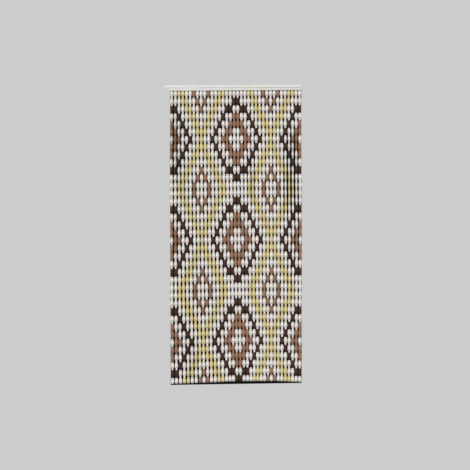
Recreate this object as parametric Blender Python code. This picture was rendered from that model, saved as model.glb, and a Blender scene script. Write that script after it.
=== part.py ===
"""Fly screen curtain: a wall rail, a header channel and 36 hanging strands of plastic sleeves.

Units are metres, with +Z up. The origin is the middle of the wall rail's back face, which
goes against the wall, and the front of the curtain faces -Y. Strands count from 1 at the
left, rows of sleeves count from 1 at the top.
"""
import math
from collections import namedtuple
from enum import IntEnum

import bmesh
import bpy
import numpy
from mathutils import Matrix, Vector

MM = 0.001
GAP = 0.3 * MM

# Wall rail: a thick band along the top, and a plate that begins where the header does
WALL_RAIL_LENGTH = 925 * MM
RAIL_HEIGHT = 35.5 * MM
PLATE_THICKNESS = 3 * MM
BAND_HEIGHT = 17 * MM
BAND_DEPTH = 14 * MM
EDGE_CHAMFER = 1 * MM

# Header: a channel, open below, in front of the plate's lower half
HEADER_LENGTH = 900 * MM
HEADER_CENTRE_X = 17.2 * MM
HEADER_HEIGHT = 17 * MM
HEADER_DEPTH = 15 * MM
HEADER_WALL = 1.5 * MM
RIB_REACH = 1.2 * MM
RIB_HEIGHT = 1.2 * MM

# Backing strips, which lie in the channel above its ribs and carry the strands
STRIP_COUNT = 4
STRIP_HEIGHT = 7 * MM

# Strands and sleeves
STRANDS = 36
SLEEVES = 38
STRAND_PITCH = 24.5 * MM
STRANDS_CENTRE_X = 19.6 * MM
NECK_WIDTH = 11 * MM
SHOULDER_WIDTH = 19 * MM
HIP_WIDTH = 22 * MM
NECK_FRONT = 1.5 * MM
BELLY_FRONT = 4 * MM
RIDGE_DEPTH = 5 * MM
ROOT_RIDGE_DEPTH = 3 * MM

# Places along one sleeve, as parts of its length below the neck above it
SHOULDER_AT = 0.32
HIP_AT = 0.75
BELLY_AT = 0.56

# The last sleeve of each strand is cut off here, where its neck would begin
END_AT = 0.89
END_WIDTH = 13 * MM

# The ridge at the back has a point at every second neck
NECKS_PER_RIDGE_POINT = 2

# Length that each sleeve takes up: the strands near both sides hang a little longer
PitchAt = namedtuple("PitchAt", "strand pitch")
SLEEVE_PITCHES = (
    PitchAt(strand=1, pitch=52.45 * MM),
    PitchAt(strand=8, pitch=52.28 * MM),
    PitchAt(strand=18, pitch=52.0 * MM),
    PitchAt(strand=30, pitch=52.02 * MM),
    PitchAt(strand=36, pitch=52.22 * MM),
)

# How much higher a row hangs than evenly spaced sleeves would, in millimetres
RiseAt = namedtuple("RiseAt", "row millimetres")
RISES = (
    RiseAt(row=0, millimetres=0),
    RiseAt(row=2, millimetres=1.0),
    RiseAt(row=7, millimetres=8.6),
    RiseAt(row=12, millimetres=10.4),
    RiseAt(row=16, millimetres=10.2),
    RiseAt(row=26, millimetres=4.2),
    RiseAt(row=31, millimetres=2.9),
    RiseAt(row=38, millimetres=3.3),
)

# How far strands have drifted to the right of their roots, in millimetres, by row
LEAN_STRANDS = (1, 8, 15, 22, 29, 36)
LeanAt = namedtuple("LeanAt", "row millimetres")
LEANS = (
    LeanAt(row=0, millimetres=(0, 0, 0, 0, 0, 0)),
    LeanAt(row=9, millimetres=(-5.7, -0.5, 1.8, 1.6, 1.4, -0.3)),
    LeanAt(row=18, millimetres=(-6.8, 0.2, 5.5, 4.0, 2.1, 0.6)),
    LeanAt(row=27, millimetres=(-8.3, 3.5, 9.8, 5.3, 0.2, -2.2)),
    LeanAt(row=38, millimetres=(-7.0, 8.1, 14.9, 7.9, -4.2, -6.9)),
)

# Where sleeves hang turned about the vertical, and how far at the middle of each patch
TurnedPatch = namedtuple("TurnedPatch", "strand row strands_reach rows_reach degrees")
TURNED_PATCHES = (
    TurnedPatch(strand=2.3, row=7.5, strands_reach=1.8, rows_reach=5, degrees=42),
    TurnedPatch(strand=2, row=19, strands_reach=1.2, rows_reach=4, degrees=26),
    TurnedPatch(strand=33.6, row=9.8, strands_reach=2.5, rows_reach=5.2, degrees=-56),
    TurnedPatch(strand=34, row=17.5, strands_reach=2.8, rows_reach=4.5, degrees=-36),
    TurnedPatch(strand=33.3, row=23.5, strands_reach=1.2, rows_reach=3, degrees=-32),
    TurnedPatch(strand=22.5, row=11.5, strands_reach=0.9, rows_reach=4, degrees=32),
    TurnedPatch(strand=6, row=35, strands_reach=1.4, rows_reach=3, degrees=24),
)
SMALL_TURN_DEGREES = 5
EDGE_ON_DEGREES = 30

# Lozenge chart, in strands and rows
LOZENGE_STRANDS = (-0.5, 18.5, 37.5)
LOZENGE_ROWS = (7, 20, 33)
LOZENGE_HALF_WIDTH = 9.5


class Shade(IntEnum):
    """Colours of the sleeves, in the order of the strands' material slots."""

    WHITE = 0
    STRAW = 1
    BROWN = 2
    DARK = 3


Finish = namedtuple("Finish", "colour roughness metallic")
SLEEVE_FINISHES = {
    Shade.WHITE: Finish(colour=(0.84, 0.82, 0.78), roughness=0.42, metallic=0.0),
    Shade.STRAW: Finish(colour=(0.66, 0.60, 0.30), roughness=0.42, metallic=0.0),
    Shade.BROWN: Finish(colour=(0.26, 0.14, 0.09), roughness=0.42, metallic=0.0),
    Shade.DARK: Finish(colour=(0.035, 0.018, 0.012), roughness=0.42, metallic=0.0),
}
RAIL_FINISH = Finish(colour=(0.72, 0.72, 0.68), roughness=0.45, metallic=0.0)

Level = namedtuple("Level", "rows half_width front")


def clear_scene():
    """Remove what the scene holds."""
    for item in list(bpy.data.objects):
        bpy.data.objects.remove(item, do_unlink=True)


def make_material(name, finish):
    """Make a Principled material from a finish."""
    material = bpy.data.materials.new(name)
    material.use_nodes = True
    shader = material.node_tree.nodes["Principled BSDF"]
    shader.inputs["Base Color"].default_value = (*finish.colour, 1.0)
    shader.inputs["Roughness"].default_value = finish.roughness
    shader.inputs["Metallic"].default_value = finish.metallic
    return material


def add_object(name, shape, materials):
    """Turn a bmesh into a named object of the scene, with outward faces."""
    bmesh.ops.recalc_face_normals(shape, faces=shape.faces)
    mesh = bpy.data.meshes.new(name)
    shape.to_mesh(mesh)
    shape.free()
    for material in materials:
        mesh.materials.append(material)
    item = bpy.data.objects.new(name, mesh)
    bpy.context.scene.collection.objects.link(item)
    return item


def extrude_profile(profile, left, right):
    """Extrude an outline in Y and Z along X, from left to right."""
    shape = bmesh.new()
    outline = [shape.verts.new((left, y, z)) for y, z in profile]
    end = shape.faces.new(outline)
    moved = bmesh.ops.extrude_face_region(shape, geom=[end], use_keep_orig=True)
    corners = [item for item in moved["geom"] if isinstance(item, bmesh.types.BMVert)]
    bmesh.ops.translate(shape, verts=corners, vec=Vector((right - left, 0, 0)))
    return shape


def wall_rail_profile():
    """Outline of the wall rail: a plate, and the band with its front edges chamfered."""
    top = RAIL_HEIGHT / 2
    band_bottom = top - BAND_HEIGHT
    return [
        (0, -top),
        (0, band_bottom),
        (0, top),
        (EDGE_CHAMFER - BAND_DEPTH, top),
        (-BAND_DEPTH, top - EDGE_CHAMFER),
        (-BAND_DEPTH, band_bottom + EDGE_CHAMFER),
        (EDGE_CHAMFER - BAND_DEPTH, band_bottom),
        (-PLATE_THICKNESS, band_bottom),
        (-PLATE_THICKNESS, -top),
    ]


def wall_rail():
    """Shape of the wall rail, whose band reaches further to the left than its plate."""
    plate_left = HEADER_CENTRE_X - HEADER_LENGTH / 2
    shape = extrude_profile(wall_rail_profile(), plate_left, WALL_RAIL_LENGTH / 2)
    end = min(shape.faces, key=lambda face: face.calc_center_median().x)
    band_bottom = RAIL_HEIGHT / 2 - BAND_HEIGHT
    level = [corner for corner in end.verts if abs(corner.co.z - band_bottom) < GAP / 10]
    level.sort(key=lambda corner: corner.co.y)
    bmesh.utils.face_split(end, level[-2], level[-1])
    ends = [face for face in shape.faces if all(corner.co.x < plate_left + GAP for corner in face.verts)]
    band_end = max(ends, key=lambda face: face.calc_center_median().z)
    moved = bmesh.ops.extrude_face_region(shape, geom=[band_end], use_keep_orig=True)
    bmesh.ops.delete(shape, geom=[band_end], context="FACES_ONLY")
    corners = [item for item in moved["geom"] if isinstance(item, bmesh.types.BMVert)]
    further = -WALL_RAIL_LENGTH / 2 - plate_left
    bmesh.ops.translate(shape, verts=corners, vec=Vector((further, 0, 0)))
    return shape


def header_back():
    """Y of the header's back face, which lies against the plate."""
    return -PLATE_THICKNESS - GAP


def strand_plane():
    """Y of the strands' own axes, in the middle of the header channel."""
    return header_back() - HEADER_DEPTH / 2


def strip_top():
    """Z of the strips' upper face, just under the header's web."""
    header_top = -RAIL_HEIGHT / 2 + HEADER_HEIGHT
    return header_top - HEADER_WALL - GAP


def strip_bottom():
    """Z of the strips' lower face, where the strands' top necks begin."""
    return strip_top() - STRIP_HEIGHT


def header_profile():
    """Outline of the header: a channel open below, with a rib along each inner side."""
    bottom = -RAIL_HEIGHT / 2
    top = bottom + HEADER_HEIGHT
    back = header_back()
    front = back - HEADER_DEPTH
    ceiling = top - HEADER_WALL
    rib_top = strip_bottom() - GAP
    rib_bottom = rib_top - RIB_HEIGHT
    inner_back = back - HEADER_WALL
    inner_front = front + HEADER_WALL
    return [
        (back, bottom),
        (back, top),
        (front + EDGE_CHAMFER, top),
        (front, top - EDGE_CHAMFER),
        (front, bottom),
        (inner_front, bottom),
        (inner_front, rib_bottom),
        (inner_front + RIB_REACH, rib_bottom),
        (inner_front + RIB_REACH, rib_top),
        (inner_front, rib_top),
        (inner_front, ceiling),
        (inner_back, ceiling),
        (inner_back, rib_top),
        (inner_back - RIB_REACH, rib_top),
        (inner_back - RIB_REACH, rib_bottom),
        (inner_back, rib_bottom),
        (inner_back, bottom),
    ]


def sleeve_shade(strand, row):
    """Shade of one sleeve in the chart of large and small lozenges."""
    from_middle = min(abs(strand - middle) for middle in LOZENGE_STRANDS)
    from_side = LOZENGE_HALF_WIDTH - from_middle
    from_row = min(abs(row - middle) for middle in LOZENGE_ROWS)
    steps = from_middle + from_row
    if (steps == 6.5 and from_row <= 4) or (steps == 5.5 and from_row >= 4):
        return Shade.DARK
    if steps in (2.5, 3.5) or from_side == from_row - 4:
        return Shade.BROWN
    if from_side - from_row in (0, -1):
        return Shade.STRAW
    return Shade.WHITE


def sleeve_pitch(strand):
    """Length that each sleeve takes up on one strand."""
    strands = [entry.strand for entry in SLEEVE_PITCHES]
    pitches = [entry.pitch for entry in SLEEVE_PITCHES]
    return float(numpy.interp(strand, strands, pitches))


def lean(strand, rows):
    """Sideways drift of a strand, at a depth given in rows below its top neck."""
    drifts = [numpy.interp(strand, LEAN_STRANDS, entry.millimetres) for entry in LEANS]
    return float(numpy.interp(rows, [entry.row for entry in LEANS], drifts)) * MM


def rise(rows):
    """How much higher than evenly spaced sleeves a strand's point is, at a depth given in rows."""
    heights = [entry.millimetres for entry in RISES]
    return float(numpy.interp(rows, [entry.row for entry in RISES], heights)) * MM


def turn_degrees(strand, rows):
    """Turn of a strand about the vertical, at a depth given in rows."""
    turn = SMALL_TURN_DEGREES * math.sin(0.8 * strand + 0.35 * rows)
    for patch in TURNED_PATCHES:
        across = (strand - patch.strand) / patch.strands_reach
        down = (rows - patch.row) / patch.rows_reach
        turn += patch.degrees * math.exp(-across ** 4 - down ** 4)
    return turn * min(1.0, rows)


def strand_point(strand, rows, across, front):
    """Place a point of a strand's section: turned, drifted and at its own depth."""
    turn = Matrix.Rotation(math.radians(turn_degrees(strand, rows)), 3, "Z")
    root_x = STRANDS_CENTRE_X + STRAND_PITCH * (strand - (STRANDS + 1) / 2)
    axis = Vector((
        root_x + lean(strand, rows),
        strand_plane(),
        strip_bottom() - sleeve_pitch(strand) * rows + rise(rows),
    ))
    return axis + turn @ Vector((across, -front, 0))


def side_levels(strand):
    """Levels down a strand's two sides, with the places of the necks among them.

    A sleeve that hangs edge on has one belly level, any other has a shoulder and a hip. The last
    sleeve has no neck.
    """
    half_neck = NECK_WIDTH / 2
    shoulder_and_hip = ((SHOULDER_AT, SHOULDER_WIDTH), (HIP_AT, HIP_WIDTH))
    levels = [Level(0, half_neck, NECK_FRONT)]
    necks = [0]
    for sleeve in range(SLEEVES):
        edge_on = abs(turn_degrees(strand, sleeve + BELLY_AT)) > EDGE_ON_DEGREES
        wide_places = ((BELLY_AT, HIP_WIDTH),) if edge_on else shoulder_and_hip
        for place, width in wide_places:
            levels.append(Level(sleeve + place, width / 2, BELLY_FRONT))
        levels.append(Level(sleeve + 1, half_neck, NECK_FRONT))
        necks.append(len(levels) - 1)
    levels[-1] = Level(SLEEVES - 1 + END_AT, END_WIDTH / 2, NECK_FRONT)
    return levels, necks


def add_strand(shape, strand):
    """Add one strand to the bmesh, open at its root, and return the root's edges.

    It has three sides, drawn in at each neck: a face in front and a ridge at the back.
    """
    levels, necks = side_levels(strand)
    left = [
        shape.verts.new(strand_point(strand, level.rows, -level.half_width, level.front))
        for level in levels
    ]
    right = [
        shape.verts.new(strand_point(strand, level.rows, level.half_width, level.front))
        for level in levels
    ]
    ridge_necks = necks[::NECKS_PER_RIDGE_POINT]
    ridge = []
    for neck in ridge_necks:
        depth = RIDGE_DEPTH if neck else ROOT_RIDGE_DEPTH
        ridge.append(shape.verts.new(strand_point(strand, levels[neck].rows, 0, -depth)))

    def add_face(corners, upper_level):
        face = shape.faces.new(corners)
        row = sum(1 for neck in necks if neck <= upper_level)
        face.material_index = sleeve_shade(strand, min(row, SLEEVES))

    for upper in range(len(levels) - 1):
        add_face((left[upper], right[upper], right[upper + 1], left[upper + 1]), upper)
    for step in range(len(ridge) - 1):
        first = ridge_necks[step]
        last = ridge_necks[step + 1]
        middle = necks[step * NECKS_PER_RIDGE_POINT + 1]
        for side in (left, right):
            for upper in range(first, last):
                peak = ridge[step] if upper < middle else ridge[step + 1]
                add_face((peak, side[upper], side[upper + 1]), upper)
            add_face((ridge[step], side[middle], ridge[step + 1]), middle - 1)
    add_face((left[-1], right[-1], ridge[-1]), len(levels) - 2)
    root = (left[0], right[0], ridge[0])
    return [shape.edges.get((root[corner - 1], root[corner])) for corner in range(3)]


def add_strip(shape, left, right, root_edges):
    """Add a backing strip from left to right, its lower face closed around the roots."""
    half_depth = HEADER_DEPTH / 2 - HEADER_WALL - GAP
    outline = (
        (left, strand_plane() - half_depth),
        (right, strand_plane() - half_depth),
        (right, strand_plane() + half_depth),
        (left, strand_plane() + half_depth),
    )
    upper = [shape.verts.new((x, y, strip_top())) for x, y in outline]
    lower = [shape.verts.new((x, y, strip_bottom())) for x, y in outline]
    shape.faces.new(upper)
    rim = []
    for corner in range(4):
        shape.faces.new((upper[corner - 1], upper[corner], lower[corner], lower[corner - 1]))
        rim.append(shape.edges.get((lower[corner - 1], lower[corner])))
    bmesh.ops.triangle_fill(shape, edges=rim + root_edges, use_beauty=True)


def make_strip(number, materials):
    """Make one backing strip with the strands that are fused to it."""
    per_strip = STRANDS // STRIP_COUNT
    first = number * per_strip + 1
    middle = first + (per_strip - 1) / 2
    middle_x = STRANDS_CENTRE_X + STRAND_PITCH * (middle - (STRANDS + 1) / 2)
    half_length = (per_strip * STRAND_PITCH - GAP) / 2
    shape = bmesh.new()
    root_edges = []
    for strand in range(first, first + per_strip):
        root_edges += add_strand(shape, strand)
    add_strip(shape, middle_x - half_length, middle_x + half_length, root_edges)
    return add_object(f"strands_{number + 1}", shape, materials)


def main():
    """Build the curtain."""
    clear_scene()
    rail_material = make_material("rail_plastic", RAIL_FINISH)
    header_material = make_material("header_plastic", RAIL_FINISH)
    sleeve_materials = [
        make_material(f"sleeve_{shade.name.lower()}", finish)
        for shade, finish in SLEEVE_FINISHES.items()
    ]
    half_header = HEADER_LENGTH / 2
    add_object("wall_rail", wall_rail(), [rail_material])
    header = extrude_profile(
        header_profile(), HEADER_CENTRE_X - half_header, HEADER_CENTRE_X + half_header
    )
    add_object("header", header, [header_material])
    for number in range(STRIP_COUNT):
        make_strip(number, sleeve_materials)


main()
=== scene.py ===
"""Looks of the fly screen curtain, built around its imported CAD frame.

Units are metres, +Z is up and the front of the curtain faces -Y. The origin is the middle of
the wall rail's back face. Strands count from 1 at the left, rows of sleeves from 1 at the top.
"""
from __future__ import annotations

import logging
import math
import random
from collections.abc import Callable, Sequence
from dataclasses import dataclass, field
from enum import Enum
from typing import NamedTuple

import bmesh
import bpy
import numpy as np
from mathutils import Matrix, Vector

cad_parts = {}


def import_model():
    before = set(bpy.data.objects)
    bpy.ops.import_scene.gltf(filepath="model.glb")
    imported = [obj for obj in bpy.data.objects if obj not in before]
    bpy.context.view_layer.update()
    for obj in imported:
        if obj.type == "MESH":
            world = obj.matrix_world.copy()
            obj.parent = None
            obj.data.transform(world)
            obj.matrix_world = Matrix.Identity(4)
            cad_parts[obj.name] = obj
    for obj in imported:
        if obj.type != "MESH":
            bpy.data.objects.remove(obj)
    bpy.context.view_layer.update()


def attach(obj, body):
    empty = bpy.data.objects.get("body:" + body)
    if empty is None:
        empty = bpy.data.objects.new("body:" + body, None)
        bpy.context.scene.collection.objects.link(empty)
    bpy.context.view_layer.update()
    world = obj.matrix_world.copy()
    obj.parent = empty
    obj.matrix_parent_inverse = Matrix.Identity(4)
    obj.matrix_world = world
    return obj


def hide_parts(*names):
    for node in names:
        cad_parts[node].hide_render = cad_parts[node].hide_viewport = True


MM = 0.001
NEAR = 0.01 * MM
SAME_PLACE = 0.002 * MM
EDGE_DEGREES = 35
BODY = "root"
TONE = "sleeve_tone"
SLEEVE_MAP = "sleeve_map"
BAKE_MAP = "OFBake"

log = logging.getLogger("curtain")

Step = tuple[float, float, float]
Colour = tuple[float, float, float]
Socket = bpy.types.NodeSocket
Value = float | Colour | Socket
Stops = tuple[tuple[float, float], ...]


class Shade(Enum):
    """Colours of the sleeves in the chart."""

    WHITE = "white"
    STRAW = "straw"
    BROWN = "brown"
    DARK = "dark"


class Ring(NamedTuple):
    """One oval section of a sleeve, in mm: its height above the mouth and half its sizes."""

    height: float
    half_width: float
    half_depth: float


class PitchAt(NamedTuple):
    """Length in mm that each sleeve takes up on one strand."""

    strand: int
    pitch: float


class RiseAt(NamedTuple):
    """How much higher than evenly spaced sleeves a row hangs, in mm."""

    row: int
    rise: float


class LeanAt(NamedTuple):
    """Sideways drift in mm of some strands at one row."""

    row: int
    drifts: tuple[float, ...]


class ReachAt(NamedTuple):
    """How far the dark ground reaches past the outer strands' axes at one row, in mm."""

    row: int
    reach: float


class TurnedPatch(NamedTuple):
    """A patch of the curtain whose sleeves hang turned about the vertical."""

    strand: float
    row: float
    strands_reach: float
    rows_reach: float
    degrees: float


def select_none() -> None:
    """Leave edit mode and deselect every object."""
    if bpy.context.object and bpy.context.object.mode != "OBJECT":
        bpy.ops.object.mode_set(mode="OBJECT")
    bpy.ops.object.select_all(action="DESELECT")


def make_active(item: bpy.types.Object) -> None:
    """Select one object alone and make it the active one.

    Args:
        item: The object.
    """
    select_none()
    item.select_set(True)
    bpy.context.view_layer.objects.active = item


def settle(item: bpy.types.Object, name: str) -> None:
    """Name an object and put its place, turn and size into its mesh.

    Args:
        item: The object.
        name: Its name.
    """
    make_active(item)
    item.name = item.data.name = name
    bpy.ops.object.transform_apply(location=True, rotation=True, scale=True)


class Bench:
    """Edit mode on one object, entered and left by a with statement."""

    def __init__(self, item: bpy.types.Object) -> None:
        """Keep the object to work on.

        Args:
            item: The object whose mesh is shaped.
        """
        self.item = item

    def __enter__(self) -> Bench:
        """Enter edit mode on the object alone.

        Returns:
            This bench.
        """
        make_active(self.item)
        bpy.ops.object.mode_set(mode="EDIT")
        return self

    def __exit__(self, *details: object) -> None:
        """Leave edit mode."""
        bpy.ops.object.mode_set(mode="OBJECT")

    def select_faces(self, wanted: Callable[[Vector, Vector], bool]) -> None:
        """Select only the faces whose lowest and highest corners pass a test.

        Args:
            wanted: Test of the lowest and the highest corner of one face.
        """
        bpy.ops.mesh.select_mode(type="FACE")
        bpy.ops.mesh.select_all(action="DESELECT")
        shape = bmesh.from_edit_mesh(self.item.data)
        for face in shape.faces:
            points = [corner.co for corner in face.verts]
            lowest = Vector([min(values) for values in zip(*points)])
            highest = Vector([max(values) for values in zip(*points)])
            if wanted(lowest, highest):
                face.select_set(True)
        shape.select_flush_mode()
        bmesh.update_edit_mesh(self.item.data)

    def extrude(self, step: Step) -> None:
        """Extrude what is selected.

        Args:
            step: How far it moves.
        """
        bpy.ops.mesh.extrude_region_move(TRANSFORM_OT_translate={"value": step})

    def close(self) -> None:
        """Merge doubles and turn all faces outwards."""
        bpy.ops.mesh.select_mode(type="VERT")
        bpy.ops.mesh.select_all(action="SELECT")
        bpy.ops.mesh.remove_doubles(threshold=SAME_PLACE)
        bpy.ops.mesh.normals_make_consistent(inside=False)


class NodeGraph:
    """The nodes of one material, with short ways to add and join them."""

    def __init__(self, name: str) -> None:
        """Start a material that has one shader.

        Args:
            name: Name of the material.
        """
        self.material = bpy.data.materials.new(name)
        self.material.use_nodes = True
        self.tree = self.material.node_tree
        self.shader = self.tree.nodes["Principled BSDF"]

    def add(self, kind: str, **settings: object) -> bpy.types.Node:
        """Add one node.

        Args:
            kind: Blender's name of the node.
            settings: Properties to set on it.

        Returns:
            The node.
        """
        node = self.tree.nodes.new(kind)
        for key, value in settings.items():
            setattr(node, key, value)
        return node

    def feed(self, taker: Socket, value: Value) -> None:
        """Set an input to a number or a colour, or join an output to it.

        Args:
            taker: The input.
            value: Number, colour or output.
        """
        if isinstance(value, Socket):
            self.tree.links.new(value, taker)
        elif isinstance(value, tuple):
            taker.default_value = (*value, 1.0)
        else:
            taker.default_value = value

    def place(self) -> Socket:
        """Add the place on the object, in metres, and return its output."""
        return self.add("ShaderNodeTexCoord").outputs["Object"]

    def stretch(self, place: Socket, scale: Step) -> Socket:
        """Scale a place along its axes.

        Args:
            place: The place.
            scale: Factor along each axis.

        Returns:
            The scaled place.
        """
        node = self.add("ShaderNodeMapping")
        node.inputs["Scale"].default_value = scale
        self.feed(node.inputs["Vector"], place)
        return node.outputs["Vector"]

    def noise(self, place: Socket, scale: float, detail: float, roughness: float) -> Socket:
        """Add a noise texture.

        Args:
            place: Where it is read.
            scale: Waves to each unit of the place.
            detail: Octaves.
            roughness: Share that each octave keeps.

        Returns:
            Its value.
        """
        node = self.add("ShaderNodeTexNoise")
        node.inputs["Scale"].default_value = scale
        node.inputs["Detail"].default_value = detail
        node.inputs["Roughness"].default_value = roughness
        self.feed(node.inputs["Vector"], place)
        return node.outputs[0]

    def maths(self, operation: str, *values: Value, clamp: bool = False) -> Socket:
        """Add a sum.

        Args:
            operation: What it works out.
            values: Its inputs in order.
            clamp: Whether the result is kept from 0 to 1.

        Returns:
            Its result.
        """
        node = self.add("ShaderNodeMath", operation=operation, use_clamp=clamp)
        for taker, value in zip(node.inputs, values):
            self.feed(taker, value)
        return node.outputs[0]

    def mix(self, share: Value, first: Value, second: Value) -> Socket:
        """Mix two colours.

        Args:
            share: How much of the second there is.
            first: The first colour.
            second: The second colour.

        Returns:
            The mixed colour.
        """
        node = self.add("ShaderNodeMix", data_type="RGBA")
        inputs = [socket for socket in node.inputs if socket.enabled]
        for taker, value in zip(inputs, (share, first, second)):
            self.feed(taker, value)
        return next(socket for socket in node.outputs if socket.enabled)

    def ramp(self, value: Socket, *stops: tuple[float, float]) -> Socket:
        """Turn a value into a brightness that runs straight from stop to stop.

        Args:
            value: The value.
            stops: Place and brightness of each stop.

        Returns:
            The brightness.
        """
        node = self.add("ShaderNodeValToRGB")
        elements = node.color_ramp.elements
        while len(elements) < len(stops):
            elements.new(0.5)
        for element, (place, grey) in zip(elements, stops):
            element.position = place
            element.color = (grey, grey, grey, 1.0)
        self.feed(node.inputs[0], value)
        return node.outputs[0]

    def bump(self, height: Socket, strength: float, distance: float) -> None:
        """Give the shader a relief.

        Args:
            height: The relief.
            strength: Its strength.
            distance: Height in metres of a value of 1.
        """
        node = self.add("ShaderNodeBump")
        node.inputs["Strength"].default_value = strength
        node.inputs["Distance"].default_value = distance
        self.feed(node.inputs["Height"], height)
        self.feed(self.shader.inputs["Normal"], node.outputs[0])

    def finish(self, colour: Socket, roughness: Socket, specular: float) -> bpy.types.Material:
        """Give the shader its colour and gloss.

        Args:
            colour: Colour of the body.
            roughness: Roughness of the surface.
            specular: Strength of its reflections.

        Returns:
            The material.
        """
        self.feed(self.shader.inputs["Base Color"], colour)
        self.feed(self.shader.inputs["Roughness"], roughness)
        self.shader.inputs["Specular IOR Level"].default_value = specular
        return self.material


@dataclass(frozen=True)
class SleevePlastic:
    """Finish of the sleeves of one colour: moulded plastic with a soft sheen.

    Stops along the sleeve run from 0 at its mouth to 1 at its neck's foot. The seam's stops are
    shares of half a turn on either side of the mould line.
    """

    name: str
    colour: Colour
    worn: Colour
    # Painted shade: a darker tone of the plastic, laid where the sleeve's own shade falls.
    painted_shade_colour: Colour
    roughness: float = 0.36
    specular: float = 0.5
    mottle_waves: float = 70
    flow_waves: Step = (260, 260, 14)
    grain_waves: float = 1500
    mottle_wear: float = 0.7
    tone_wear: float = 0.28
    usual_wear: float = 0.3
    # Stops of the painted shade along the sleeve: below the mouth, on the lower taper and at the
    # neck's foot, then how much the flow marks let through.
    mouth_painted_shade: Stops = ((0.04, 1.0), (0.15, 0.9), (0.28, 0.0))
    taper_painted_shade: Stops = ((0.4, 0.0), (0.52, 0.9), (0.64, 0.9), (0.72, 0.0))
    neck_painted_shade: Stops = ((0.86, 0.0), (0.95, 1.0))
    painted_shade_streaks: Stops = ((0.3, 0.35), (0.7, 1.0))
    painted_shade_share: float = 0.8
    seam_line: Stops = ((0.012, 1.0), (0.03, 0.0))
    seam_share: float = 0.35
    flow_roughness: float = 0.14
    painted_shade_roughness: float = 0.12
    grain_relief: float = 0.25
    seam_relief: float = 1.2
    relief_strength: float = 0.35
    relief_height: float = 0.12 * MM

    def material(self) -> bpy.types.Material:
        """Make the finish.

        Its tone differs from sleeve to sleeve. Painted shade darkens it below the mouth, where the
        sleeve is drawn in to its neck, and at the neck's foot, streaked by the flow marks. A paler
        mould line runs down both sides, and flow marks run along the sleeve.

        Returns:
            The material.
        """
        graph = NodeGraph(self.name)
        place = graph.place()
        tone = graph.add("ShaderNodeAttribute", attribute_name=TONE).outputs["Fac"]
        sleeve_map = graph.add("ShaderNodeUVMap", uv_map=SLEEVE_MAP).outputs["UV"]
        split = graph.add("ShaderNodeSeparateXYZ")
        graph.feed(split.inputs[0], sleeve_map)
        around, along = split.outputs[0], split.outputs[1]

        mottle = graph.noise(place, self.mottle_waves, detail=4, roughness=0.6)
        flow = graph.noise(graph.stretch(place, self.flow_waves), 1, detail=3, roughness=0.5)
        grain = graph.noise(place, self.grain_waves, detail=2, roughness=0.6)

        wear = graph.maths("MULTIPLY_ADD", mottle, self.mottle_wear, -self.mottle_wear / 2)
        wear = graph.maths("MULTIPLY_ADD", tone, self.tone_wear, wear)
        wear = graph.maths("ADD", wear, self.usual_wear, clamp=True)
        body = graph.mix(wear, self.colour, self.worn)

        # Painted shade: darker below the mouth, on the lower taper and at the neck's foot,
        # streaked by the flow marks; these parts are also rougher.
        mouth = graph.ramp(along, *self.mouth_painted_shade)
        taper = graph.ramp(along, *self.taper_painted_shade)
        neck = graph.ramp(along, *self.neck_painted_shade)
        ends = graph.maths("MAXIMUM", mouth, graph.maths("MAXIMUM", taper, neck))
        painted_shade_mask = graph.maths("MULTIPLY", ends, graph.ramp(flow, *self.painted_shade_streaks))
        with_painted_shade = graph.mix(graph.maths("MULTIPLY", painted_shade_mask, self.painted_shade_share), body, self.painted_shade_colour)

        half_turn = graph.maths("PINGPONG", graph.maths("MULTIPLY", around, 2.0), 0.5)
        seam = graph.ramp(half_turn, *self.seam_line)
        seamed = graph.mix(graph.maths("MULTIPLY", seam, self.seam_share), with_painted_shade, self.worn)

        glossiest = self.roughness - self.flow_roughness / 2
        marks = graph.maths("MULTIPLY_ADD", flow, self.flow_roughness, glossiest)
        rough = graph.maths("MULTIPLY_ADD", painted_shade_mask, self.painted_shade_roughness, marks)
        relief = graph.maths("MULTIPLY_ADD", grain, self.grain_relief, flow)
        relief = graph.maths("MULTIPLY_ADD", seam, self.seam_relief, relief)
        graph.bump(relief, self.relief_strength, self.relief_height)
        return graph.finish(seamed, rough, self.specular)


@dataclass(frozen=True)
class RailPlastic:
    """Finish of both rail profiles: drawn off-white plastic with low sheen."""

    name: str
    colour: Colour
    yellowed: Colour
    dust: Colour
    roughness: float = 0.45
    specular: float = 0.45
    line_waves: Step = (6, 900, 900)
    cloud_waves: float = 16
    speck_waves: float = 420
    aged_clouds: Stops = ((0.35, 0.0), (0.72, 1.0))
    dust_specks: Stops = ((0.6, 0.0), (0.75, 0.5))
    line_roughness: float = 0.2
    relief_strength: float = 0.3
    relief_height: float = 0.1 * MM

    def material(self) -> bpy.types.Material:
        """Make the finish, with draw lines along the profile and clouds of age.

        Returns:
            The material.
        """
        graph = NodeGraph(self.name)
        place = graph.place()
        lines = graph.noise(graph.stretch(place, self.line_waves), 1, detail=3, roughness=0.55)
        clouds = graph.noise(place, self.cloud_waves, detail=5, roughness=0.62)
        specks = graph.noise(place, self.speck_waves, detail=2, roughness=0.7)
        aged = graph.ramp(clouds, *self.aged_clouds)
        body = graph.mix(aged, self.colour, self.yellowed)
        spots = graph.maths("MULTIPLY", graph.ramp(specks, *self.dust_specks), aged)
        dusty = graph.mix(spots, body, self.dust)
        graph.bump(lines, self.relief_strength, self.relief_height)
        glossiest = self.roughness - self.line_roughness / 2
        marks = graph.maths("MULTIPLY_ADD", lines, self.line_roughness, glossiest)
        return graph.finish(dusty, marks, self.specular)


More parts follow.
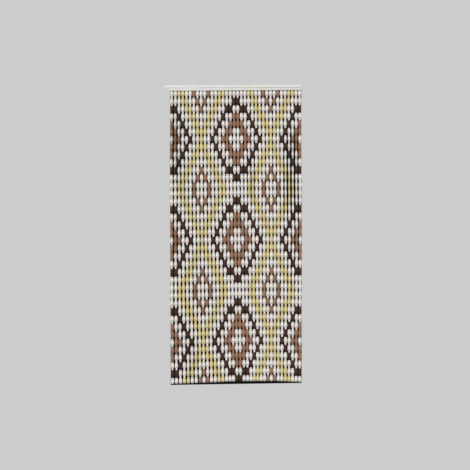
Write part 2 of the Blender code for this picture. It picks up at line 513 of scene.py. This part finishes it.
# The third colour of each finish is its painted shade, a darker tone of the same plastic.
SLEEVE_FINISHES = {
    Shade.WHITE: SleevePlastic(
        "sleeve_white", (0.88, 0.84, 0.81), (0.82, 0.77, 0.72), (0.40, 0.355, 0.30)
    ),
    Shade.STRAW: SleevePlastic(
        "sleeve_straw", (0.77, 0.66, 0.33), (0.77, 0.67, 0.39), (0.38, 0.30, 0.14)
    ),
    Shade.BROWN: SleevePlastic(
        "sleeve_brown", (0.33, 0.175, 0.106), (0.39, 0.225, 0.145), (0.18, 0.095, 0.06)
    ),
    Shade.DARK: SleevePlastic(
        "sleeve_dark", (0.056, 0.018, 0.008), (0.07, 0.032, 0.018), (0.026, 0.011, 0.006)
    ),
}
RAIL_FINISH = RailPlastic("rail_plastic", (0.73, 0.73, 0.71), (0.70, 0.69, 0.63), (0.5, 0.47, 0.4))


@dataclass(frozen=True)
class LozengeChart:
    """Chart of large and small lozenges, counted in strands and rows.

    A sleeve's steps are the strands and rows from it to the nearest large lozenge's middle. From
    the bend row on, the dark edge is one step nearer. A small lozenge lies halfway between large
    ones, and its tips are the tip row away from their middle rows. Straw sleeves are as many
    strands from its middle as they are rows from a large one's, or one less.
    """

    middle_strands: tuple[float, ...] = (-0.5, 18.5, 37.5)
    middle_rows: tuple[float, ...] = (7, 20, 33)
    half_width: float = 9.5
    bend_row: int = 4
    dark_steps: float = 6.5
    dark_steps_past_bend: float = 5.5
    brown_steps: tuple[float, ...] = (2.5, 3.5)
    small_tip_row: int = 4
    straw_leads: tuple[float, ...] = (0, -1)

    def shade(self, strand: int, row: int) -> Shade:
        """Colour of one sleeve.

        Args:
            strand: Number of its strand.
            row: Its row.

        Returns:
            Its shade.
        """
        from_middle = min(abs(strand - middle) for middle in self.middle_strands)
        from_side = self.half_width - from_middle
        from_row = min(abs(row - middle) for middle in self.middle_rows)
        steps = from_middle + from_row
        if steps == self.dark_steps and from_row <= self.bend_row:
            return Shade.DARK
        if steps == self.dark_steps_past_bend and from_row >= self.bend_row:
            return Shade.DARK
        if steps in self.brown_steps or from_side == from_row - self.small_tip_row:
            return Shade.BROWN
        if from_side - from_row in self.straw_leads:
            return Shade.STRAW
        return Shade.WHITE


@dataclass(frozen=True)
class StrandHang:
    """Where the strands hang, with the same numbers as the CAD part."""

    strands: int = 36
    strand_pitch: float = 24.5 * MM
    centre_x: float = 19.6 * MM
    plane_y: float = -10.8 * MM
    root_z: float = -9.55 * MM
    mouth_at: float = 0.12
    small_turn: float = 5
    turn_by_strand: float = 0.8
    turn_by_row: float = 0.35
    patch_power: int = 4
    pitches: tuple[PitchAt, ...] = (
        PitchAt(1, 52.45),
        PitchAt(8, 52.28),
        PitchAt(18, 52.0),
        PitchAt(30, 52.02),
        PitchAt(36, 52.22),
    )
    rises: tuple[RiseAt, ...] = (
        RiseAt(0, 0),
        RiseAt(2, 1.0),
        RiseAt(7, 8.6),
        RiseAt(12, 10.4),
        RiseAt(16, 10.2),
        RiseAt(26, 4.2),
        RiseAt(31, 2.9),
        RiseAt(38, 3.3),
    )
    lean_strands: tuple[int, ...] = (1, 8, 15, 22, 29, 36)
    leans: tuple[LeanAt, ...] = (
        LeanAt(0, (0, 0, 0, 0, 0, 0)),
        LeanAt(9, (-5.7, -0.5, 1.8, 1.6, 1.4, -0.3)),
        LeanAt(18, (-6.8, 0.2, 5.5, 4.0, 2.1, 0.6)),
        LeanAt(27, (-8.3, 3.5, 9.8, 5.3, 0.2, -2.2)),
        LeanAt(38, (-7.0, 8.1, 14.9, 7.9, -4.2, -6.9)),
    )
    patches: tuple[TurnedPatch, ...] = (
        TurnedPatch(2.3, 7.5, 1.8, 5, 42),
        TurnedPatch(2, 19, 1.2, 4, 26),
        TurnedPatch(33.6, 9.8, 2.5, 5.2, -56),
        TurnedPatch(34, 17.5, 2.8, 4.5, -36),
        TurnedPatch(33.3, 23.5, 1.2, 3, -32),
        TurnedPatch(22.5, 11.5, 0.9, 4, 32),
        TurnedPatch(6, 35, 1.4, 3, 24),
    )

    def pitch(self, strand: float) -> float:
        """Length that each sleeve takes up on one strand.

        Args:
            strand: Number of the strand, or a number between two strands.

        Returns:
            The length in metres.
        """
        strands = [entry.strand for entry in self.pitches]
        return float(np.interp(strand, strands, [entry.pitch for entry in self.pitches])) * MM

    def axis(self, strand: float, rows: float) -> Vector:
        """Point on a strand's own axis.

        Args:
            strand: Number of the strand, or a number between two strands.
            rows: Depth below its root, counted in rows.

        Returns:
            The point.
        """
        drifts = [np.interp(strand, self.lean_strands, entry.drifts) for entry in self.leans]
        lean = float(np.interp(rows, [entry.row for entry in self.leans], drifts)) * MM
        heights = [entry.rise for entry in self.rises]
        rise = float(np.interp(rows, [entry.row for entry in self.rises], heights)) * MM
        root_x = self.centre_x + self.strand_pitch * (strand - (self.strands + 1) / 2)
        z = self.root_z - self.pitch(strand) * rows + rise
        return Vector((root_x + lean, self.plane_y, z))

    def turn(self, strand: int, rows: float) -> float:
        """Turn of a strand about the vertical.

        Args:
            strand: Number of the strand.
            rows: Depth below its root, counted in rows.

        Returns:
            The turn in degrees.
        """
        wave = self.turn_by_strand * strand + self.turn_by_row * rows
        turn = self.small_turn * math.sin(wave)
        for patch in self.patches:
            across = (strand - patch.strand) / patch.strands_reach
            down = (rows - patch.row) / patch.rows_reach
            fade = across**self.patch_power + down**self.patch_power
            turn += patch.degrees * math.exp(-fade)
        return turn * min(1.0, rows)


@dataclass(frozen=True)
class SleeveShape:
    """A vase-shaped hollow sleeve: a recessed mouth at the top and a long neck at its foot.

    Sizes are in mm, for a sleeve that takes up the nominal pitch, and heights are counted from
    its mouth. In the map for baking, each sleeve has a square cell of its own. Its wall fills the
    cell from the wall's foot up, and its caps lie side by side in the strip below.
    """

    sides: int = 8
    pitch: float = 52.0
    rings: tuple[Ring, ...] = (
        Ring(-5.2, 5.85, 2.95),
        Ring(0, 6.1, 3.2),
        Ring(0, 7.1, 4.0),
        Ring(-4, 9.0, 4.7),
        Ring(-12, 9.4, 5.3),
        Ring(-27, 11.1, 5.6),
        Ring(-34.5, 11.1, 4.9),
        Ring(-40, 6.3, 2.6),
        Ring(-55, 5.3, 2.4),
    )
    root_rings: tuple[Ring, ...] = (
        Ring(7.8, 5.5, 2.7),
        Ring(2, 5.3, 2.4),
        Ring(-3, 5.3, 2.4),
    )
    foot_wall: float = 0.9
    foot_recess: float = 3.5
    crease_degrees: float = 48
    cells: int = 7
    rim: float = 0.04
    wall_foot: float = 0.14
    wall_height: float = 0.82
    caps_middle: tuple[float, float] = (0.5, 0.06)
    caps_scale: tuple[float, float] = (0.016, 0.0125)
    caps_apart: float = 0.3

    def build(self, name: str, rings: Sequence[Ring]) -> bpy.types.Object:
        """Model a closed oval shell that passes through some rings.

        Args:
            name: Name of the model.
            rings: Its sections, from the first to the last.

        Returns:
            The model.
        """
        first = rings[0]
        select_none()
        bpy.ops.mesh.primitive_circle_add(
            vertices=self.sides, radius=MM, fill_type="NGON", location=(0, 0, first.height * MM)
        )
        model = bpy.context.object
        settle(model, name)
        with Bench(model) as bench:
            bpy.ops.mesh.select_all(action="SELECT")
            self.resize(first.half_width, first.half_depth, first.height)
            for above, ring in zip(rings, rings[1:]):
                bench.extrude((0, 0, (ring.height - above.height) * MM))
                wider = ring.half_width / above.half_width
                deeper = ring.half_depth / above.half_depth
                self.resize(wider, deeper, ring.height)
            bpy.ops.mesh.select_all(action="SELECT")
            bpy.ops.mesh.normals_make_consistent(inside=False)
        return model

    @staticmethod
    def resize(wider: float, deeper: float, height: float) -> None:
        """Resize the selected ring about the sleeve's axis.

        Args:
            wider: Factor across the sleeve.
            deeper: Factor from front to back.
            height: Height of the ring in mm.
        """
        centre = (0, 0, height * MM)
        bpy.ops.transform.resize(value=(wider, deeper, 1), center_override=centre)

    def hollow_foot(self, model: bpy.types.Object) -> None:
        """Open the lowest end of a model into a short recess.

        Args:
            model: The sleeve that ends a strand.
        """
        bottom = min(corner.co.z for corner in model.data.vertices)
        with Bench(model) as bench:
            bench.select_faces(lambda low, high: high.z < bottom + NEAR)
            bpy.ops.mesh.inset(thickness=self.foot_wall * MM)
            bench.extrude((0, 0, self.foot_recess * MM))

    def map_faces(self, model: bpy.types.Object) -> None:
        """Give a model its two UV maps, and crease it at its lips.

        Both maps unroll the sleeve: one way runs around it and the other along it.

        Args:
            model: The model.
        """
        mesh = model.data
        heights = [corner.co.z for corner in mesh.vertices]
        top, bottom = max(heights), min(heights)
        length = (self.rings[1].height - self.rings[-1].height) * MM
        sleeve_map = mesh.uv_layers.new(name=SLEEVE_MAP)
        bake_map = mesh.uv_layers.new(name=BAKE_MAP)
        for face in mesh.polygons:
            points = [mesh.vertices[index].co for index in face.vertices]
            flat = max(point.z for point in points) - min(point.z for point in points) < NEAR
            inner = face.normal.xy.dot(face.center.xy) < 0
            turns = [math.atan2(point.y, point.x) / math.tau % 1.0 for point in points]
            if max(turns) - min(turns) > 0.5:
                turns = [turn + 1.0 if turn < 0.5 else turn for turn in turns]
            for loop, point, turn in zip(face.loop_indices, points, turns):
                along = (top - point.z) / length
                sleeve_map.data[loop].uv = (turn, along)
                if flat or inner:
                    u = self.caps_middle[0] + self.caps_scale[0] * point.x / MM
                    v = self.caps_middle[1] + self.caps_scale[1] * point.y / MM
                    if inner:
                        u -= self.caps_apart
                    elif point.z < (top + bottom) / 2:
                        u += self.caps_apart
                else:
                    u = self.rim + (1 - 2 * self.rim) * turn
                    v = self.wall_foot + self.wall_height * (1 - along)
                bake_map.data[loop].uv = (u, v)
        bake_map.active_render = True
        make_active(model)
        bpy.ops.object.shade_smooth_by_angle(angle=math.radians(self.crease_degrees))


@dataclass
class Curtain:
    """The strands of sleeves and the strips that they hang from."""

    hang: StrandHang = field(default_factory=StrandHang)
    chart: LozengeChart = field(default_factory=LozengeChart)
    shape: SleeveShape = field(default_factory=SleeveShape)
    sleeves: int = 38
    strips: int = 4
    strip_height: float = 7 * MM
    strip_depth: float = 11.4 * MM
    strip_gap: float = 0.3 * MM
    strip_edge: float = 0.6 * MM
    strip_segments: int = 3
    turn_at: float = 0.4
    loose_turn: float = 3.5
    seed: int = 36
    finishes: dict[Shade, bpy.types.Material] = field(default_factory=dict)

    def build(self) -> None:
        """Build every strand and strip and make each ride on the frame."""
        self.finishes = {shade: finish.material() for shade, finish in SLEEVE_FINISHES.items()}
        sleeve = self.shape.build("sleeve", self.shape.rings)
        foot = self.shape.build("foot_sleeve", self.shape.rings[:-1])
        self.shape.hollow_foot(foot)
        root = self.shape.build("root_neck", self.shape.root_rings)
        models = (root, sleeve, foot)
        for model in models:
            self.shape.map_faces(model)
        chance = random.Random(self.seed)
        per_strip = self.hang.strands // self.strips
        for strand in range(1, self.hang.strands + 1):
            piece = self.build_strand(strand, models, chance)
            self.fit(piece, f"strands_{(strand - 1) // per_strip + 1}")
            log.info("%s: %d faces", piece.name, len(piece.data.polygons))
        for number in range(1, self.strips + 1):
            piece = self.build_strip(number, per_strip)
            self.fit(piece, f"strands_{number}")
            log.info("%s: %d faces", piece.name, len(piece.data.polygons))
        for model in models:
            bpy.data.objects.remove(model, do_unlink=True)

    def build_strand(
        self,
        strand: int,
        models: tuple[bpy.types.Object, bpy.types.Object, bpy.types.Object],
        chance: random.Random,
    ) -> bpy.types.Object:
        """Build one strand: its root neck and its sleeves, joined in one mesh.

        Args:
            strand: Number of the strand.
            models: Root neck, sleeve and foot sleeve.
            chance: Source of the small differences between sleeves.

        Returns:
            The strand.
        """
        root, sleeve, foot = models
        first = self.finishes[self.chart.shade(strand, 1)]
        place = Matrix.Translation(self.hang.axis(strand, self.hang.mouth_at))
        copies = [self.copy_model(root, place, first, 0.0, 0)]
        for row in range(1, self.sleeves + 1):
            loose = chance.uniform(-self.loose_turn, self.loose_turn)
            tone = chance.uniform(-1.0, 1.0)
            model = foot if row == self.sleeves else sleeve
            finish = self.finishes[self.chart.shade(strand, row)]
            place = self.sleeve_place(strand, row, loose)
            copies.append(self.copy_model(model, place, finish, tone, row))
        select_none()
        for copy in copies:
            copy.select_set(True)
        bpy.context.view_layer.objects.active = copies[0]
        bpy.ops.object.join()
        settle(copies[0], f"strand_{strand:02d}")
        return copies[0]

    def sleeve_place(self, strand: int, row: int, loose: float) -> Matrix:
        """Where one sleeve hangs: turned, slanted along its strand and set at its own depth.

        Args:
            strand: Number of its strand.
            row: Its row.
            loose: Its own small turn in degrees.

        Returns:
            The matrix that puts the model there.
        """
        mouth_row = row - 1 + self.hang.mouth_at
        mouth = self.hang.axis(strand, mouth_row)
        drop = self.hang.axis(strand, mouth_row + 1) - mouth
        nominal = self.shape.pitch * MM
        slant = Matrix.Identity(4)
        slant[0][2] = -drop.x / nominal
        slant[2][2] = -drop.z / nominal
        turn = math.radians(self.hang.turn(strand, mouth_row + self.turn_at) + loose)
        return Matrix.Translation(mouth) @ slant @ Matrix.Rotation(turn, 4, "Z")

    def copy_model(
        self,
        model: bpy.types.Object,
        place: Matrix,
        finish: bpy.types.Material,
        tone: float,
        cell: int,
    ) -> bpy.types.Object:
        """Copy a model with a mesh of its own.

        Args:
            model: The model.
            place: Where the copy goes.
            finish: Its material.
            tone: Its tone, from -1 to 1.
            cell: Which cell of the strand's UV map it takes.

        Returns:
            The copy.
        """
        mesh = model.data.copy()
        mesh.transform(place)
        mesh.materials.append(finish)
        tones = mesh.attributes.new(TONE, "FLOAT", "POINT")
        tones.data.foreach_set("value", [tone] * len(mesh.vertices))
        layer = mesh.uv_layers[BAKE_MAP]
        points = np.zeros(2 * len(mesh.loops), np.float32)
        layer.data.foreach_get("uv", points)
        line, column = divmod(cell, self.shape.cells)
        points = (points.reshape(-1, 2) + (column, line)) / self.shape.cells
        layer.data.foreach_set("uv", points.astype(np.float32).ravel())
        copy = bpy.data.objects.new(model.name, mesh)
        bpy.context.scene.collection.objects.link(copy)
        return copy

    def build_strip(self, number: int, per_strip: int) -> bpy.types.Object:
        """Build one backing strip, a bar with rounded edges inside the header.

        Args:
            number: Number of the strip from the left.
            per_strip: How many strands it carries.

        Returns:
            The strip.
        """
        middle = (number - 1) * per_strip + (per_strip + 1) / 2
        place = self.hang.axis(middle, 0) + Vector((0, 0, self.strip_height / 2))
        length = per_strip * self.hang.strand_pitch - self.strip_gap
        select_none()
        bpy.ops.mesh.primitive_cube_add(
            size=1, location=place, scale=(length, self.strip_depth, self.strip_height)
        )
        strip = bpy.context.object
        settle(strip, f"hanging_strip_{number}")
        round_edges(strip, self.strip_edge, self.strip_segments)
        strip.data.materials.append(self.finishes[Shade.WHITE])
        return strip

    @staticmethod
    def fit(piece: bpy.types.Object, node: str) -> None:
        """Make a piece stand for a CAD node and ride on the frame.

        Args:
            piece: The piece.
            node: The node that it replaces.
        """
        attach(piece, BODY)
        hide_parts(node)


def round_edges(item: bpy.types.Object, width: float, segments: int) -> None:
    """Round the edges of a finished shape by a bevel that is applied.

    Args:
        item: The shape.
        width: Width of the rounding.
        segments: Its faces.
    """
    make_active(item)
    bevel = item.modifiers.new("rounding", "BEVEL")
    bevel.width = width
    bevel.segments = segments
    bevel.limit_method = "ANGLE"
    bpy.ops.object.modifier_apply(modifier=bevel.name)
    bpy.ops.object.shade_smooth_by_angle(angle=math.radians(EDGE_DEGREES))


@dataclass(frozen=True)
class Rails:
    """The wall rail and the header channel in front of it."""

    rail_length: float = 925 * MM
    rail_height: float = 35.5 * MM
    plate: float = 3 * MM
    band_height: float = 17 * MM
    band_depth: float = 14 * MM
    gap: float = 0.3 * MM
    header_length: float = 900 * MM
    header_centre: float = 17.2 * MM
    header_height: float = 17 * MM
    header_depth: float = 15 * MM
    wall: float = 1.5 * MM
    rib_reach: float = 1.2 * MM
    rib_top: float = -9.85 * MM
    rib_bottom: float = -11.05 * MM
    rounding: float = 0.8 * MM
    rounding_segments: int = 3
    header_rounding: float = 0.4 * MM
    header_segments: int = 2

    def build(self) -> None:
        """Build both profiles and make each ride on the frame."""
        finish = RAIL_FINISH.material()
        for node, piece in (("wall_rail", self.wall_rail()), ("header", self.header())):
            piece.data.materials.append(finish)
            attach(piece, BODY)
            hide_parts(node)
            log.info("%s: %d faces", piece.name, len(piece.data.polygons))

    def wall_rail(self) -> bpy.types.Object:
        """Build the wall rail: a thick band, and a plate that begins where the header does.

        Returns:
            The rail.
        """
        left, right = -self.rail_length / 2, self.rail_length / 2
        plate_left = self.header_centre - self.header_length / 2
        select_none()
        bpy.ops.mesh.primitive_cube_add(
            size=1,
            location=((plate_left + right) / 2, -self.plate / 2, 0),
            scale=(right - plate_left, self.plate, self.rail_height),
        )
        rail = bpy.context.object
        settle(rail, "rail_profile")
        band_bottom = self.rail_height / 2 - self.band_height
        with Bench(rail) as bench:
            bpy.ops.mesh.select_all(action="SELECT")
            bpy.ops.mesh.bisect(plane_co=(0, 0, band_bottom), plane_no=(0, 0, 1))
            bench.select_faces(
                lambda low, high: high.x < plate_left + NEAR and low.z > band_bottom - NEAR
            )
            bench.extrude((left - plate_left, 0, 0))
            bench.select_faces(
                lambda low, high: high.y < NEAR - self.plate and low.z > band_bottom - NEAR
            )
            bench.extrude((0, self.plate - self.band_depth, 0))
            bench.close()
        round_edges(rail, self.rounding, self.rounding_segments)
        return rail

    def header(self) -> bpy.types.Object:
        """Build the header: a channel open below, with a rib along each inner side.

        Returns:
            The header.
        """
        bottom = -self.rail_height / 2
        top = bottom + self.header_height
        back = -self.plate - self.gap
        front = back - self.header_depth
        ceiling = top - self.wall
        middle = (back + front) / 2
        select_none()
        bpy.ops.mesh.primitive_cube_add(
            size=1,
            location=(self.header_centre, middle, top - self.wall / 2),
            scale=(self.header_length, self.header_depth, self.wall),
        )
        header = bpy.context.object
        settle(header, "header_channel")
        with Bench(header) as bench:
            for y in (back - self.wall, front + self.wall):
                bpy.ops.mesh.select_all(action="SELECT")
                bpy.ops.mesh.bisect(plane_co=(0, y, 0), plane_no=(0, 1, 0))
            inner = self.header_depth / 2 - self.wall
            bench.select_faces(
                lambda low, high: high.z < ceiling + NEAR
                and abs((low.y + high.y) / 2 - middle) > inner
            )
            levels = (ceiling, self.rib_top, self.rib_bottom, bottom)
            for above, below in zip(levels, levels[1:]):
                bench.extrude((0, 0, below - above))
            for side in (-1, 1):
                bench.select_faces(
                    lambda low, high: high.z < self.rib_top + NEAR
                    and low.z > self.rib_bottom - NEAR
                    and abs((low.y - middle) * side - inner) < NEAR
                    and abs((high.y - middle) * side - inner) < NEAR
                )
                bench.extrude((0, -side * self.rib_reach, 0))
            bench.close()
        round_edges(header, self.header_rounding, self.header_segments)
        return header


@dataclass(frozen=True)
class Studio:
    """Camera, soft light, pale floor and the dark ground that shows through the gaps.

    The dark ground is a board far behind the strands, with the curtain's outline as the camera
    sees it, so that it is out of sight from the sides and from behind.
    """

    lens: float = 200
    sensor: float = 36
    aim: Step = (9.6 * MM, -10.8 * MM, -989.3 * MM)
    distance: float = 17.574
    elevation: float = 3
    roll: float = 0.29
    pale: float = 0.604
    ambient: float = 0.22
    floor_z: float = -2.5
    floor_size: float = 90
    sky_radius: float = 40
    sky_segments: int = 48
    sky_rings: int = 24
    key_strength: float = 3.4
    key_place: tuple[float, float] = (-14, 40)
    back_strength: float = 1.5
    back_place: tuple[float, float] = (150, 38)
    softness: float = 20
    ground_behind: float = 2.5
    ground_bottom_left: float = -2001 * MM
    ground_bottom_right: float = -1992 * MM
    ground_top: float = -10 * MM
    ground_grey: float = 0.009
    ground_reaches: tuple[ReachAt, ...] = (
        ReachAt(0, 12.0),
        ReachAt(3, 10.2),
        ReachAt(30, 10.2),
        ReachAt(34, 12.0),
        ReachAt(38, 12.6),
    )
    sleeves: int = 38

    def build(self, hang: StrandHang) -> None:
        """Build the camera, the lights, the floor and the dark ground.

        Args:
            hang: Where the strands hang, which gives the dark ground's outline.
        """
        scene = bpy.context.scene
        scene.view_settings.view_transform = "Standard"
        self.camera()
        self.light("key_light", self.key_strength, *self.key_place)
        self.light("back_light", self.back_strength, *self.back_place)
        world = bpy.data.worlds.new("studio")
        world.use_nodes = True
        world.node_tree.nodes["Background"].inputs["Color"].default_value = grey(self.ambient)
        scene.world = world
        self.floor()
        self.sky()
        self.dark_ground(hang)

    def forward(self) -> Vector:
        """Direction in which the camera looks."""
        tilt = math.radians(self.elevation)
        return Vector((0, math.cos(tilt), -math.sin(tilt)))

    def eye(self) -> Vector:
        """Place of the camera."""
        return Vector(self.aim) - self.forward() * self.distance

    def camera(self) -> None:
        """Make the camera: straight in front, a little above the middle of the curtain."""
        select_none()
        tilt = Matrix.Rotation(math.radians(90 - self.elevation), 3, "X")
        turn = tilt @ Matrix.Rotation(math.radians(-self.roll), 3, "Z")
        bpy.ops.object.camera_add(location=self.eye(), rotation=turn.to_euler())
        camera = bpy.context.object
        camera.data.lens = self.lens
        camera.data.sensor_width = self.sensor
        bpy.context.scene.camera = camera

    def light(self, name: str, strength: float, azimuth: float, elevation: float) -> None:
        """Add a soft light that is the same everywhere.

        Args:
            name: Its name.
            strength: Its strength.
            azimuth: Where it comes from, in degrees to the right of the front.
            elevation: How high it stands, in degrees.
        """
        select_none()
        turn = (math.radians(90 - elevation), 0, math.radians(azimuth))
        bpy.ops.object.light_add(type="SUN", rotation=turn)
        lamp = bpy.context.object
        lamp.name = name
        lamp.data.energy = strength
        lamp.data.angle = math.radians(self.softness)

    def floor(self) -> None:
        """Lay the pale floor, which has the even tone of the sky."""
        select_none()
        bpy.ops.mesh.primitive_plane_add(size=self.floor_size, location=(0, 0, self.floor_z))
        floor = bpy.context.object
        settle(floor, "floor")
        self.set_stage(floor, 0.0, self.pale)

    def sky(self) -> None:
        """Hang a pale even sky around everything."""
        select_none()
        bpy.ops.mesh.primitive_uv_sphere_add(
            segments=self.sky_segments, ring_count=self.sky_rings, radius=self.sky_radius
        )
        sky = bpy.context.object
        settle(sky, "sky")
        self.set_stage(sky, 0.0, self.pale)

    @staticmethod
    def set_stage(item: bpy.types.Object, brightness: float, glow: float) -> None:
        """Make a stage object matt and keep it from lighting or shading the curtain.

        Args:
            item: The object.
            brightness: How bright its own grey is.
            glow: How much light it gives to the camera.
        """
        graph = NodeGraph(item.name)
        graph.shader.inputs["Base Color"].default_value = grey(brightness)
        graph.shader.inputs["Roughness"].default_value = 1.0
        graph.shader.inputs["Specular IOR Level"].default_value = 0.0
        graph.shader.inputs["Emission Color"].default_value = grey(1.0)
        graph.shader.inputs["Emission Strength"].default_value = glow
        item.data.materials.append(graph.material)
        item.visible_shadow = False
        item.visible_diffuse = False
        item.visible_glossy = False

    def dark_ground(self, hang: StrandHang) -> None:
        """Stand up the dark ground behind the curtain.

        Args:
            hang: Where the strands hang.
        """
        rows = range(self.sleeves + 1)
        known_rows = [entry.row for entry in self.ground_reaches]
        known_reaches = [entry.reach for entry in self.ground_reaches]
        reaches = np.interp(rows, known_rows, known_reaches)
        steps = [Vector((reach * MM, 0, 0)) for reach in reaches]
        left = [hang.axis(1, row) - step for row, step in zip(rows, steps)]
        right = [hang.axis(hang.strands, row) + step for row, step in zip(rows, steps)]
        for side, bottom in ((left, self.ground_bottom_left), (right, self.ground_bottom_right)):
            side[0].z = self.ground_top
            side[-1].z = bottom
        eye = self.eye()
        depth = self.distance + self.ground_behind
        outline = []
        for corner in (*left, *reversed(right)):
            ray = corner - eye
            outline.append(eye + ray * (depth / ray.dot(self.forward())))
        mesh = bpy.data.meshes.new("dark_ground")
        mesh.from_pydata(outline, [], [range(len(outline))])
        ground = bpy.data.objects.new("dark_ground", mesh)
        bpy.context.scene.collection.objects.link(ground)
        self.set_stage(ground, self.ground_grey, 0.0)


def grey(brightness: float) -> tuple[float, float, float, float]:
    """A grey as a node takes it.

    Args:
        brightness: Its brightness.

    Returns:
        The grey.
    """
    return (brightness, brightness, brightness, 1.0)


def main() -> None:
    """Load the frame and build the studio, the rails and the curtain around it."""
    logging.basicConfig(level=logging.INFO, format="%(message)s")
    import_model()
    curtain = Curtain()
    Studio().build(curtain.hang)
    Rails().build()
    curtain.build()


if __name__ == "__main__":
    main()
